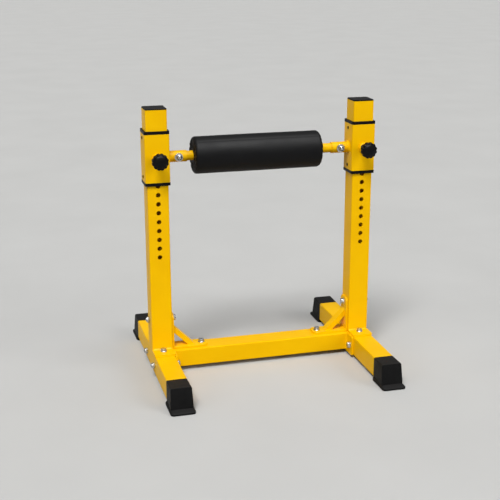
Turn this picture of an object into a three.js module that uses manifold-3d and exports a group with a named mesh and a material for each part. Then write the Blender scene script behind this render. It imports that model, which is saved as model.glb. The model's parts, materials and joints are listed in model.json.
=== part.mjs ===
// Adjustable squat stand: two square uprights on bolted legs, a pair of sliding sleeves
// with spring pull-pins, and a padded roller that turns on a shaft between the sleeves.
// Millimetres, +Z up. The origin is on the floor, midway between the uprights and midway
// between the front and rear feet. +X runs from the left upright to the right one, seen
// from the front, and +Y runs to the rear. The pull-pins face the front.
import * as THREE from 'three';
import { mergeVertices } from 'three/addons/utils/BufferGeometryUtils.js';
import Module from 'manifold-3d';

const wasm = await Module();
wasm.setup();

// Fits and welds
const seatGap = 0.3; // clearance left between two faces that meet
const cutOverrun = 2; // how far a cutting tool runs past the wall it cuts
const weldBite = 0.5; // how far joined pieces run into each other
const weldLeg = 3; // leg of a fillet weld

// Square steel tube of the legs and uprights
const legSide = 50;
const uprightSide = 52;
const tubeWall = 2;
const tubeCorner = 3.5;

// Stance
const uprightSpacing = 514; // between the upright axes
const legTubeLength = 406;
const soleHeight = 7; // the leg tube clears the floor by this much

// Crossbar and its end plates
const barHeight = 46;
const barDepth = 56;
const plateThickness = 5;
const plateCorner = 3;
const endPlateTail = 37; // end plate past the bar, front and rear
const endBoltReach = 22; // bolt centre past the bar's face

// Base plates of the uprights
const basePlateTail = 38; // base plate past the upright, front and rear
const baseBoltReach = 12.5; // bolt centre past the upright's face
const baseBoltLength = 18;

// Corner brackets between the uprights and the crossbar
const bracketReach = 91; // both legs of the bent strip
const bracketWidth = 40;
const bracketThickness = 5;
const bracketBend = 6; // outside radius of the bend
const bracketToeClip = 7; // clipped corners at the ends of the strip
const bracketBoltInset = 14; // bolt centre from the end of the strip
const braceInset = 28; // outer face of the brace from the end of the strip
const braceThickness = 12.5;
const braceWidth = 22;

// Row of adjustment holes in the front wall of each upright
const lowestHoleHeight = 300;
const holePitch = 22;
const holeCount = 14;
const restHoleIndex = 11; // the hole that the pull-pins face at rest, counted from zero
const holeDiameter = 11.5;
const topHeadroom = 4.7; // left above the sleeve at its highest setting

// End caps of the uprights
const capFlange = 3;
const capRounding = 1.2;
const capPlugDepth = 16;
const capPlugWall = 2;

// Rubber boots on the leg ends
const bootLength = 61; // from the leg's end to the foot of the boot's front face
const bootFrontLean = 8; // the front face leans back by this much at its top
const bootTopRise = 1.2; // the top climbs by this much towards the front
const bootSideFlare = 2.5; // each side spreads by this much at the foot of the front
const bootRounding = 2.5;
const bootPlugDepth = 30;
const bootPlugPlay = 0.6;
const bootFinDepth = 1.5;
const bootFinWidth = 3;
const bootFinShares = [0.45, 0.9]; // fins along the plug
const soleFrontFlare = 16; // sole past the body at the front
const soleSideFlare = 4.5; // sole past the leg tube at each side
const soleEdgeHeight = 6;
const soleSlopeRise = 2.5; // from the leg's underside to the top of the sole's slope
const soleEdgeRounding = 1.2;
const soleCorner = 7;

// Sliding sleeves and their plastic bushes
const sleeveHeight = 115;
const sleeveWall = 2;
const sleeveCorner = 4;
const bushWall = 1.4;
const bushFlange = 7.5;
const bushFlangeProud = 0.3; // flange past the sleeve's face
const bushSkirtDepth = 20;
const bushButtonDiameter = 6.5;
const bushButtonInset = 11; // button centre from the end of the sleeve
const bushButtonRise = 2;

// Roller shaft and the sockets that hold it
const shaftDiameter = 23;
const shaftDrop = 1.5; // shaft's axis below the pull-pins' axis
const shaftWall = 2;
const shaftEndPlay = 1;
const socketWall = 1.9;
const socketLength = 45;
const socketBoltReach = 24; // bolt centre from the sleeve's face
const socketWasherDiameter = 20;
const socketWasherThickness = 1.8;

// Padded roller
const rollerDiameter = 89.6;
const rollerEndPlay = 23; // mean gap between the roller and each socket
const rollerDrift = 9; // the roller lies this far to the left of the middle
const rollerShoulder = 8;
const coverThickness = 1.4;
const coverEyePlay = 1.6; // gap between the cover's end and the shaft
const coreDiameter = 32;
const coreWall = 2;
const rollerBushLength = 20;
const rollerBushFlange = 3;

// Spring pull-pins
const pinDiameter = 10;
const pinTipChamfer = 1;
const pinTravel = 10; // from drawn back at rest to fully home in a hole
const pinRestClearance = 0.6; // between the drawn pin and the upright
const pinCollarDiameter = 11.4;
const pinCollarThickness = 2.5;
const pinRodDiameter = 6;
const bossDiameter = 24;
const bossLength = 7;
const barrelDiameter = 15;
const barrelReach = 26; // barrel past the sleeve's face
const barrelHexAcross = 20;
const barrelHexLength = 6;
const barrelLand = 3; // solid land at each end of the spring chamber
const chamberDiameter = 12;
const springWire = 1;
const springTurns = 4;

// Scalloped knobs
const knobDiameter = 40;
const knobLobes = 12;
const scallopDepth = 1.4;
const knobRimThickness = 15;
const knobRounding = 2.4;
const knobDomeRise = 5;
const knobStandoff = 2; // knob clear of the barrel at rest
const knobRecessPlay = 1;
const knobSocketDepth = 8;

// M8 fasteners
const boltDiameter = 8;
const boltHeadAcross = 13;
const boltHeadHeight = 5.5;
const boltFlangeDiameter = 17;
const boltFlangeThickness = 1.6;
const boltTipChamfer = 0.8;
const nutHeight = 6.5;
const nutCollarHeight = 1.5;
const nutCollarDiameter = 11.6;
const boltTail = 1.5; // thread that shows past the nut

// Facets, as steps round a full turn
const buttonSteps = 8;
const fastenerSteps = 12;
const pinSteps = 16;
const shaftSteps = 20;
const foamSteps = 24;
const rollerSteps = 32;
const knobSteps = 48;
const springTurnSteps = 8;
const springSectionSteps = 4;
const hexSides = 6;
// Steps round a quarter turn
const cornerSteps = 2;
const plainCornerSteps = 1;
const shoulderSteps = 3;
const bevelSteps = 2;

// Sizes that follow from the ones above
const legHalf = legSide / 2;
const uprightHalf = uprightSide / 2;
const boltHole = boltDiameter + 2 * seatGap;
const legTop = soleHeight + legSide;
const plateBottom = legTop + seatGap;
const plateTop = plateBottom + plateThickness;
const axisHeight = lowestHoleHeight + restHoleIndex * holePitch;
const topHoleHeight = lowestHoleHeight + (holeCount - 1) * holePitch;
const sleeveInner = uprightSide + 2 * (seatGap + bushWall + seatGap);
const sleeveSide = sleeveInner + 2 * sleeveWall;
const uprightTop = topHoleHeight + sleeveHeight / 2 + seatGap + bushFlange + topHeadroom;
const legInnerFace = uprightSpacing / 2 - legHalf;
const legOuterFace = uprightSpacing / 2 + legHalf;
const bracketBack = uprightSpacing / 2 - uprightHalf - seatGap;
const bracketBoltReach = bracketReach - bracketBoltInset;
const baseBoltPlace = uprightHalf + baseBoltReach;
const endBoltPlace = barDepth / 2 + endBoltReach;
const socketEnd = uprightSpacing / 2 - sleeveSide / 2 - socketLength;
const socketDiameter = shaftDiameter + 2 * (seatGap + socketWall);
const socketBoltPlace = uprightSpacing / 2 - sleeveSide / 2 - socketBoltReach;
const rollerLength = 2 * (socketEnd - rollerEndPlay);
const coreHalf = rollerLength / 2 - coverThickness - 2 * seatGap - rollerBushFlange;
const barrelStart = sleeveInner / 2;
const barrelEnd = sleeveSide / 2 + barrelReach;
const chamberStart = barrelStart + barrelLand;
const chamberEnd = barrelEnd - barrelLand;
const collarStart = chamberStart + pinTravel + seatGap;
const collarEnd = collarStart + pinCollarThickness;
const knobBack = barrelEnd + knobStandoff;
const knobRecessDepth = pinTravel - knobStandoff + knobRecessPlay;

// Materials
const paint = { color: 0xf2b40e, roughness: 0.38, metalness: 0.1 };
const rubber = { color: 0x161616, roughness: 0.75, metalness: 0 };
const plastic = { color: 0x101011, roughness: 0.5, metalness: 0 };
const zinc = { color: 0xc9cbcc, roughness: 0.28, metalness: 1 };
const steel = { color: 0x3c3d3f, roughness: 0.42, metalness: 1 };
const vinyl = { color: 0x1a1a1b, roughness: 0.42, metalness: 0 };
const foam = { color: 0x3a3a3c, roughness: 0.95, metalness: 0 };

// Solids from closed meshes, and back
function toSolid(geometry) {
  const bare = geometry.index ? geometry.toNonIndexed() : geometry.clone();
  bare.deleteAttribute('normal');
  bare.deleteAttribute('uv');
  const merged = mergeVertices(bare);
  const corners = [];
  for (let i = 0; i < merged.index.count; i += 3) {
    const [a, b, c] = merged.index.array.slice(i, i + 3);
    if (a !== b && b !== c && c !== a) corners.push(a, b, c);
  }
  const vertProperties = new Float32Array(merged.attributes.position.array);
  const triVerts = new Uint32Array(corners);
  return new wasm.Manifold(new wasm.Mesh({ numProp: 3, vertProperties, triVerts }));
}

function toGeometry(solid) {
  const { vertProperties, triVerts } = solid.getMesh();
  const geometry = new THREE.BufferGeometry();
  geometry.setAttribute('position', new THREE.BufferAttribute(vertProperties, 3));
  geometry.setIndex(new THREE.BufferAttribute(triVerts, 1));
  geometry.computeVertexNormals();
  return geometry;
}

function join(...geometries) {
  return geometries.map(toSolid).reduce((whole, piece) => whole.add(piece));
}

function cut(solid, ...tools) {
  return tools.map(toSolid).reduce((whole, tool) => whole.subtract(tool), solid);
}

// Outlines and simple forms, centred on their axis
function roundedRect(width, height, radius) {
  const shape = new THREE.Shape();
  const x = width / 2 - radius;
  const y = height / 2 - radius;
  shape.absarc(x, y, radius, 0, Math.PI / 2);
  shape.absarc(-x, y, radius, Math.PI / 2, Math.PI);
  shape.absarc(-x, -y, radius, Math.PI, 1.5 * Math.PI);
  shape.absarc(x, -y, radius, 1.5 * Math.PI, 2 * Math.PI);
  return shape;
}

function polygon(points) {
  return new THREE.Shape(points.map(([x, y]) => new THREE.Vector2(x, y)));
}

// three.js gives an arc twice as many steps as the curve segments asked for
function prism(shape, length, steps = cornerSteps) {
  return new THREE.ExtrudeGeometry(shape, {
    depth: length,
    bevelEnabled: false,
    curveSegments: steps / 2,
  });
}

function innerCorner(corner, wall) {
  return Math.max(corner - wall, corner / 3);
}

function rectTube(width, height, wall, corner, length) {
  const shape = roundedRect(width, height, corner);
  shape.holes.push(roundedRect(width - 2 * wall, height - 2 * wall, innerCorner(corner, wall)));
  return prism(shape, length);
}

// A rod centred on the origin along x, y or z
function rod(diameter, length, axis, steps = fastenerSteps) {
  const geometry = new THREE.CylinderGeometry(diameter / 2, diameter / 2, length, steps);
  if (axis === 'x') geometry.rotateZ(Math.PI / 2);
  if (axis === 'z') geometry.rotateX(Math.PI / 2);
  return geometry;
}

// A profile of [radius, height] pairs turned about +Z
function revolve(profile, steps) {
  const points = profile.map(([radius, height]) => new THREE.Vector2(radius, height));
  if (THREE.ShapeUtils.isClockWise(points)) points.reverse();
  if (points[0].x !== 0) points.push(points[0].clone());
  return new THREE.LatheGeometry(points, steps).rotateX(Math.PI / 2);
}

// A skin over sections of equal point count, closed by flat ends
function loft(sections) {
  const count = sections[0].length;
  const points = sections.flat();
  const index = [];
  for (let s = 0; s + 1 < sections.length; s += 1) {
    for (let i = 0; i < count; i += 1) {
      const a = s * count + i;
      const b = s * count + ((i + 1) % count);
      index.push(a, b, b + count, a, b + count, a + count);
    }
  }
  const last = (sections.length - 1) * count;
  for (let i = 1; i + 1 < count; i += 1) {
    index.push(0, i + 1, i, last, last + i, last + i + 1);
  }
  const geometry = new THREE.BufferGeometry().setFromPoints(points);
  geometry.setIndex(index);
  return geometry;
}

// One level section of a loft that rises along +Z
function levelSection(width, depth, corner, x, y, z) {
  const points = roundedRect(width, depth, corner).getPoints(cornerSteps / 2);
  return points.map((p) => new THREE.Vector3(p.x + x, p.y + y, z));
}

// Fillet weld round a rectangular or round member that stands on z = 0
function rectWeld(width, height, corner) {
  const grown = 2 * weldLeg;
  const foot = levelSection(width + grown, height + grown, corner + weldLeg, 0, 0, 0);
  const sunk = 2 * weldBite;
  const head = levelSection(width - sunk, height - sunk, corner, 0, 0, weldLeg + weldBite);
  return loft([foot, head]);
}

function roundWeld(diameter, steps) {
  const radius = diameter / 2;
  const profile = [[0, -weldBite], [radius + weldLeg, -weldBite], [radius + weldLeg, 0]];
  profile.push([radius - weldBite, weldLeg + weldBite], [0, weldLeg + weldBite]);
  return revolve(profile, steps);
}

function mesh(name, shape, look) {
  const geometry = shape instanceof THREE.BufferGeometry ? shape : toGeometry(shape);
  const part = new THREE.Mesh(geometry, new THREE.MeshStandardMaterial({ ...look, flatShading: true }));
  part.name = name;
  return part;
}

function at(object, x, y, z) {
  object.position.set(x, y, z);
  return object;
}

// Fasteners. The axis is +Z, and the seat under the head or nut is z = 0.
function hexPrism(across, height) {
  const radius = across / Math.sqrt(3);
  const chamfer = radius - across / 2;
  const side = [[radius, 0], [radius, height - chamfer], [radius - chamfer, height]];
  return revolve([[0, 0], ...side, [0, height]], hexSides);
}

function boltShape(length, flanged) {
  const r = boltDiameter / 2;
  const seat = flanged ? boltFlangeThickness : 0;
  const shank = [[0, -length], [r - boltTipChamfer, -length], [r, boltTipChamfer - length]];
  const stem = revolve([...shank, [r, seat + weldBite], [0, seat + weldBite]], fastenerSteps);
  const head = hexPrism(boltHeadAcross, boltHeadHeight).translate(0, 0, seat);
  if (!flanged) return join(head, stem);
  const rim = boltFlangeDiameter / 2;
  const skirt = [[0, 0], [rim, 0], [rim - seat / 2, seat + weldBite], [0, seat + weldBite]];
  return join(head, stem, revolve(skirt, fastenerSteps));
}

function nutShape() {
  const height = nutHeight + nutCollarHeight;
  const collar = rod(nutCollarDiameter, nutCollarHeight + weldBite, 'z', fastenerSteps);
  const lifted = collar.translate(0, 0, height - (nutCollarHeight + weldBite) / 2);
  const body = join(hexPrism(boltHeadAcross, nutHeight), lifted);
  const bore = rod(boltHole, height + 2 * cutOverrun, 'z', fastenerSteps);
  return cut(body, bore.translate(0, 0, height / 2));
}

// Bolt length from its seat through a stack and its nut
function gripLength(stack) {
  return stack + seatGap + nutHeight + nutCollarHeight + boltTail;
}

// Leg: the tube lies along Y with its axis through the origin
function legShape() {
  const tube = rectTube(legSide, legSide, tubeWall, tubeCorner, legTubeLength);
  tube.rotateX(Math.PI / 2).translate(0, legTubeLength / 2, 0);
  const pieces = [tube];
  const tools = [];
  for (const end of [-1, 1]) {
    const nut = rod(boltHeadAcross, nutHeight + weldBite, 'z', hexSides);
    const nutMiddle = legHalf - tubeWall - (nutHeight - weldBite) / 2;
    pieces.push(nut.translate(0, end * baseBoltPlace, nutMiddle));
    const drill = rod(boltHole, legHalf, 'z');
    tools.push(drill.translate(0, end * baseBoltPlace, legHalf));
    const through = rod(boltHole, legSide + 2 * cutOverrun, 'x');
    tools.push(through.translate(0, end * endBoltPlace, 0));
  }
  return cut(join(...pieces), ...tools);
}

// One upright section of a boot's body, from share 0 at the leg's end to share 1 at the front
function bootSection(share, inset) {
  const outline = roundedRect(legSide, legSide, tubeCorner).getPoints(cornerSteps / 2);
  const shrink = 1 - 2 * inset / legSide;
  return outline.map((p) => {
    const rise = (p.y + legHalf) / legSide;
    const spread = 1 + 2 * bootSideFlare * (1 - rise) * share / legSide;
    const reach = seatGap + share * (bootLength - seatGap - bootFrontLean * rise);
    const height = soleHeight + legHalf + shrink * p.y + bootTopRise * rise * share;
    return new THREE.Vector3(p.x * shrink * spread, -reach, height);
  });
}

// Boot: y = 0 is the end face of the leg tube, the body runs to -Y, z = 0 is the floor
function bootShape() {
  const body = loft([
    bootSection(0, 0),
    bootSection(1 - bootRounding / bootLength, 0),
    bootSection(1 - bootRounding / bootLength / 4, bootRounding / 4),
    bootSection(1, bootRounding),
  ]);
  const middle = soleHeight + legHalf;
  const pieces = [body, soleLoft()];
  const plugSide = legSide - 2 * tubeWall - 2 * bootPlugPlay;
  const coreSide = plugSide - 2 * bootFinDepth;
  const plugLength = bootPlugDepth + seatGap + weldBite;
  const core = prism(roundedRect(coreSide, coreSide, tubeCorner), plugLength, plainCornerSteps);
  pieces.push(core.rotateX(Math.PI / 2).translate(0, bootPlugDepth, middle));
  for (const share of bootFinShares) {
    const fin = prism(roundedRect(plugSide, plugSide, tubeCorner), bootFinWidth, plainCornerSteps);
    pieces.push(fin.rotateX(Math.PI / 2).translate(0, share * bootPlugDepth, middle));
  }
  return join(...pieces);
}

// Sole: a flared pad under the boot's body, with a slope that climbs to the body's foot
function soleLoft() {
  const level = (front, side, z) => {
    const width = legSide + 2 * side;
    const depth = bootLength + front - seatGap;
    return levelSection(width, depth, soleCorner, 0, -seatGap - depth / 2, z);
  };
  const round = soleEdgeRounding;
  return loft([
    level(soleFrontFlare - round, soleSideFlare - round, 0),
    level(soleFrontFlare, soleSideFlare, round),
    level(soleFrontFlare, soleSideFlare, soleEdgeHeight - round),
    level(soleFrontFlare - round, soleSideFlare - round, soleEdgeHeight),
    level(-bootRounding / 2, 0, soleHeight + soleSlopeRise),
  ]);
}

// Crossbar: a tube along X with a bolting plate welded on each end
function crossbarShape() {
  const plateFace = legInnerFace - seatGap;
  const barLength = 2 * (plateFace - plateThickness + weldBite);
  const bar = rectTube(barHeight, barDepth, tubeWall, tubeCorner, barLength);
  bar.rotateY(Math.PI / 2).translate(-barLength / 2, 0, 0);
  const plateLength = barDepth + 2 * endPlateTail;
  const plateDrop = (legSide - barHeight) / 2;
  const pieces = [bar];
  const tools = [];
  for (const side of [-1, 1]) {
    const plate = prism(roundedRect(legSide, plateLength, plateCorner), plateThickness);
    plate.rotateY(Math.PI / 2).translate(-plateThickness / 2, 0, 0);
    pieces.push(plate.translate(side * (plateFace - plateThickness / 2), 0, -plateDrop));
    const weld = rectWeld(barHeight - weldLeg, barDepth, tubeCorner);
    weld.rotateY(-side * Math.PI / 2);
    pieces.push(weld.translate(side * (plateFace - plateThickness), 0, -weldLeg / 2));
    for (const end of [-1, 1]) {
      const drill = rod(boltHole, plateThickness + 2 * cutOverrun, 'x');
      const place = side * (plateFace - plateThickness / 2);
      tools.push(drill.translate(place, end * endBoltPlace, -plateDrop));
    }
    const through = rod(boltHole, barHeight + 2 * cutOverrun, 'z');
    tools.push(through.translate(side * (bracketBack - bracketBoltReach), 0, 0));
  }
  return cut(join(...pieces), ...tools);
}

// Upright: z = 0 is the underside of its base plate
function uprightShape() {
  const plateLength = uprightSide + 2 * basePlateTail;
  const plate = prism(roundedRect(uprightSide, plateLength, plateCorner), plateThickness);
  const tubeBottom = plateThickness - weldBite;
  const tubeLength = uprightTop - plateBottom - tubeBottom;
  const tube = rectTube(uprightSide, uprightSide, tubeWall, tubeCorner, tubeLength);
  const weld = rectWeld(uprightSide - 2 * weldLeg, uprightSide, tubeCorner);
  const pieces = [plate, tube.translate(0, 0, tubeBottom), weld.translate(0, 0, plateThickness)];
  const tools = [];
  for (const end of [-1, 1]) {
    const drill = rod(boltHole, plateThickness + 2 * cutOverrun, 'z');
    tools.push(drill.translate(0, end * baseBoltPlace, plateThickness / 2));
  }
  tools.push(rod(boltHole, uprightSide + 2 * cutOverrun, 'x').translate(0, 0, bracketBoltReach));
  for (let i = 0; i < holeCount; i += 1) {
    const drill = rod(holeDiameter, tubeWall + 2 * cutOverrun, 'y');
    const height = lowestHoleHeight + i * holePitch - plateBottom;
    tools.push(drill.translate(0, (tubeWall - uprightSide) / 2, height));
  }
  return cut(join(...pieces), ...tools);
}

// End cap: z = 0 is the top of the tube
function capShape() {
  const side = uprightSide - 2 * capRounding;
  const crown = new THREE.ExtrudeGeometry(roundedRect(side, side, tubeCorner), {
    depth: capFlange - capRounding,
    curveSegments: cornerSteps / 2,
    bevelThickness: capRounding,
    bevelSize: capRounding,
    bevelSegments: bevelSteps,
  });
  const flange = toSolid(crown.translate(0, 0, seatGap));
  const below = new THREE.BoxGeometry(2 * uprightSide, 2 * uprightSide, 2 * capRounding);
  const flat = cut(flange, below.translate(0, 0, seatGap - capRounding));
  const plugSide = uprightSide - 2 * tubeWall - 2 * seatGap;
  const plugLength = capPlugDepth + seatGap + weldBite;
  const plug = rectTube(plugSide, plugSide, capPlugWall, tubeCorner, plugLength);
  return flat.add(toSolid(plug.translate(0, 0, -capPlugDepth)));
}

// Corner bracket: the origin is the corner, the strip runs along +X and +Z
function bracketShape() {
  const t = bracketThickness;
  const reach = bracketReach;
  const inner = innerCorner(bracketBend, t);
  const outline = new THREE.Shape();
  outline.moveTo(bracketBend, 0);
  outline.lineTo(reach, 0);
  outline.lineTo(reach, t);
  outline.lineTo(t + inner, t);
  outline.absarc(t + inner, t + inner, inner, 1.5 * Math.PI, Math.PI, true);
  outline.lineTo(t, reach);
  outline.lineTo(0, reach);
  outline.lineTo(0, bracketBend);
  outline.absarc(bracketBend, bracketBend, bracketBend, Math.PI, 1.5 * Math.PI);
  const strip = prism(outline, bracketWidth).rotateX(Math.PI / 2);
  strip.translate(0, bracketWidth / 2, 0);
  const outer = reach - braceInset;
  const innerLine = outer - braceThickness * Math.SQRT2;
  const foot = t - weldBite;
  const outerEdge = [[outer - foot, foot], [foot, outer - foot]];
  const innerEdge = [[foot, innerLine - foot], [innerLine - foot, foot]];
  const bar = polygon([...outerEdge, ...innerEdge]);
  const brace = prism(bar, braceWidth).rotateX(Math.PI / 2).translate(0, braceWidth / 2, 0);
  const tools = [];
  const clip = bracketToeClip * Math.SQRT2;
  for (const side of [-1, 1]) {
    const edge = side * bracketWidth / 2;
    const flatClip = new THREE.BoxGeometry(clip, clip, 3 * t).rotateZ(Math.PI / 4);
    tools.push(flatClip.translate(reach, edge, t / 2));
    const uprightClip = new THREE.BoxGeometry(3 * t, clip, clip).rotateX(Math.PI / 4);
    tools.push(uprightClip.translate(t / 2, edge, reach));
  }
  tools.push(rod(boltHole, t + 2 * cutOverrun, 'z').translate(bracketBoltReach, 0, t / 2));
  tools.push(rod(boltHole, t + 2 * cutOverrun, 'x').translate(t / 2, 0, bracketBoltReach));
  return cut(join(strip, brace), ...tools);
}

// Sleeve: the origin is on the upright's axis at the pull-pin's height, inward is +1 or -1 on X
function sleeveShape(inward) {
  const tube = rectTube(sleeveSide, sleeveSide, sleeveWall, sleeveCorner, sleeveHeight);
  const face = sleeveSide / 2;
  const socket = rod(socketDiameter, socketLength + weldBite, 'x', shaftSteps);
  const socketMiddle = inward * (face + (socketLength - weldBite) / 2);
  const socketWeld = roundWeld(socketDiameter, shaftSteps).rotateY(inward * Math.PI / 2);
  const bossProfile = [[0, -weldBite], [bossDiameter / 2, -weldBite]];
  bossProfile.push([bossDiameter / 2, bossLength - weldLeg / 2]);
  bossProfile.push([(bossDiameter - weldLeg) / 2, bossLength], [0, bossLength]);
  const boss = revolve(bossProfile, pinSteps).rotateX(Math.PI / 2);
  const whole = join(
    tube.translate(0, 0, -sleeveHeight / 2),
    socket.translate(socketMiddle, 0, -shaftDrop),
    socketWeld.translate(inward * face, 0, -shaftDrop),
    boss.translate(0, -face, 0),
  );
  const socketBore = rod(shaftDiameter + 2 * seatGap, socketLength + cutOverrun, 'x', shaftSteps);
  const boltDrill = rod(boltHole, socketDiameter + 2 * cutOverrun, 'y');
  const pinLength = bossLength + sleeveWall + 2 * cutOverrun;
  const pinDrill = rod(barrelDiameter + 2 * seatGap, pinLength, 'y', pinSteps);
  const tools = [
    socketBore.translate(inward * (face + (socketLength + cutOverrun) / 2), 0, -shaftDrop),
    boltDrill.translate(inward * (face + socketBoltReach), 0, -shaftDrop),
    pinDrill.translate(0, -sleeveInner / 2 - (bossLength + sleeveWall) / 2, 0),
  ];
  for (const end of [-1, 1]) {
    const drill = rod(bushButtonDiameter + 2 * seatGap, sleeveSide + 2 * cutOverrun, 'x', buttonSteps);
    tools.push(drill.translate(0, 0, end * (sleeveHeight / 2 - bushButtonInset)));
  }
  return cut(whole, ...tools);
}

// Bush: z = 0 is the end of the sleeve, the skirt hangs into it along -Z
function bushShape() {
  const skirtInner = uprightSide + 2 * seatGap;
  const skirtOuter = skirtInner + 2 * bushWall;
  const inner = tubeCorner + seatGap;
  const skirt = prism(roundedRect(skirtOuter, skirtOuter, inner + bushWall), bushSkirtDepth + weldBite);
  const flangeSide = sleeveSide + 2 * bushFlangeProud;
  const flange = prism(roundedRect(flangeSide, flangeSide, sleeveCorner), bushFlange - seatGap);
  const buttonLength = skirtOuter + 2 * bushButtonRise;
  const button = rod(bushButtonDiameter, buttonLength, 'x', buttonSteps);
  const whole = join(
    skirt.translate(0, 0, weldBite - bushSkirtDepth),
    flange.translate(0, 0, seatGap),
    button.translate(0, 0, -bushButtonInset),
  );
  const openingLength = bushSkirtDepth + bushFlange + 2 * cutOverrun;
  const opening = prism(roundedRect(skirtInner, skirtInner, inner), openingLength);
  return cut(whole, opening.translate(0, 0, -bushSkirtDepth - cutOverrun));
}

// Shaft along X with a cross hole near each end
function shaftShape() {
  const length = 2 * (uprightSpacing / 2 - sleeveSide / 2 - shaftEndPlay);
  const bore = shaftDiameter - 2 * shaftWall;
  const tools = [rod(bore, length + 2 * cutOverrun, 'x', shaftSteps)];
  for (const side of [-1, 1]) {
    const drill = rod(boltHole, shaftDiameter + 2 * cutOverrun, 'y');
    tools.push(drill.translate(side * socketBoltPlace, 0, 0));
  }
  return cut(toSolid(rod(shaftDiameter, length, 'x', shaftSteps)), ...tools);
}

function washerShape() {
  const hole = rod(boltHole, socketWasherThickness + 2 * cutOverrun, 'z', fastenerSteps);
  return cut(toSolid(rod(socketWasherDiameter, socketWasherThickness, 'z', pinSteps)), hole);
}

// Roller pieces turn about +Z, with the origin at the middle of the roller
function shoulderArc(radius, halfLength, shoulder, direction, steps) {
  const points = [];
  for (let i = 0; i <= steps; i += 1) {
    const angle = (i / steps) * Math.PI / 2;
    const r = radius - shoulder + shoulder * Math.cos(angle);
    points.push([r, direction * (halfLength - shoulder + shoulder * Math.sin(angle))]);
  }
  return points;
}

function capsuleSide(radius, halfLength, shoulder, steps) {
  const lower = shoulderArc(radius, halfLength, shoulder, -1, steps).reverse();
  return [...lower, ...shoulderArc(radius, halfLength, shoulder, 1, steps)];
}

function coverShape() {
  const eye = shaftDiameter / 2 + coverEyePlay;
  const half = rollerLength / 2;
  const outer = capsuleSide(rollerDiameter / 2, half, rollerShoulder, shoulderSteps);
  const within = half - coverThickness;
  const hollow = rollerShoulder - coverThickness;
  const inner = capsuleSide(rollerDiameter / 2 - coverThickness, within, hollow, plainCornerSteps);
  const lining = [[eye, within], ...inner.reverse(), [eye, -within]];
  return revolve([[eye, -half], ...outer, [eye, half], ...lining], rollerSteps);
}

function foamShape() {
  const skin = coverThickness + seatGap;
  const half = rollerLength / 2 - skin;
  const shoulder = 2 * rollerShoulder;
  const outer = capsuleSide(rollerDiameter / 2 - skin, half, shoulder, plainCornerSteps);
  const bore = coreDiameter / 2 + seatGap;
  return revolve([[bore, -half], ...outer, [bore, half]], foamSteps);
}

function ringShape(outer, inner, from, to, steps) {
  return revolve([[inner / 2, from], [outer / 2, from], [outer / 2, to], [inner / 2, to]], steps);
}

// Roller bush: z = 0 is the end of the core, the flange stands on +Z
function rollerBushShape() {
  const bore = shaftDiameter / 2 + seatGap;
  const body = coreDiameter / 2 - coreWall - seatGap;
  const rim = coreDiameter / 2;
  const top = seatGap + rollerBushFlange;
  const side = [[body, -rollerBushLength], [body, seatGap], [rim, seatGap], [rim, top], [bore, top]];
  return revolve([[bore, -rollerBushLength], ...side], shaftSteps);
}

// Pull-pin pieces lie along +Z, which is the distance forward of the upright's axis
function barrelShape() {
  const r = barrelDiameter / 2;
  const nose = pinDiameter / 2 + seatGap;
  const chamber = chamberDiameter / 2;
  const eye = pinRodRadius(seatGap);
  const chamfer = weldLeg / 3;
  const outer = [[nose, barrelStart], [r, barrelStart], [r, barrelEnd - chamfer], [r - chamfer, barrelEnd]];
  const inner = [[eye, barrelEnd], [eye, chamberEnd], [chamber, chamberEnd]];
  inner.push([chamber, chamberStart], [nose, chamberStart]);
  const body = toSolid(revolve([...outer, ...inner], pinSteps));
  const hex = toSolid(hexPrism(barrelHexAcross, barrelHexLength));
  const bore = rod(barrelDiameter - weldBite, barrelHexLength + 2 * cutOverrun, 'z', pinSteps);
  const collar = cut(hex, bore.translate(0, 0, barrelHexLength / 2));
  return body.add(collar.translate([0, 0, sleeveSide / 2 + bossLength + seatGap]));
}

function pinRodRadius(play) {
  return pinRodDiameter / 2 + play;
}

function plungerShape() {
  const tip = uprightHalf + pinRestClearance;
  const r = pinDiameter / 2;
  const collar = pinCollarDiameter / 2;
  const stem = pinRodRadius(0);
  const end = knobBack + knobRecessDepth + knobSocketDepth - seatGap;
  const nose = [[0, tip], [r - pinTipChamfer, tip], [r, tip + pinTipChamfer], [r, collarStart]];
  const rear = [[collar, collarStart], [collar, collarEnd], [stem, collarEnd], [stem, end], [0, end]];
  return revolve([...nose, ...rear], pinSteps);
}

class SpringPath extends THREE.Curve {
  getPoint(t, target = new THREE.Vector3()) {
    const radius = (pinRodDiameter + chamberDiameter) / 4;
    const angle = 2 * Math.PI * springTurns * t;
    const from = collarEnd + seatGap + springWire / 2;
    const to = chamberEnd - seatGap - springWire / 2;
    return target.set(radius * Math.cos(angle), radius * Math.sin(angle), from + (to - from) * t);
  }
}

function springShape() {
  const section = new THREE.Shape().absarc(0, 0, springWire / 2, 0, 2 * Math.PI);
  return new THREE.ExtrudeGeometry(section, {
    steps: springTurns * springTurnSteps,
    extrudePath: new SpringPath(),
    curveSegments: springSectionSteps / 2,
  });
}

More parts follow.
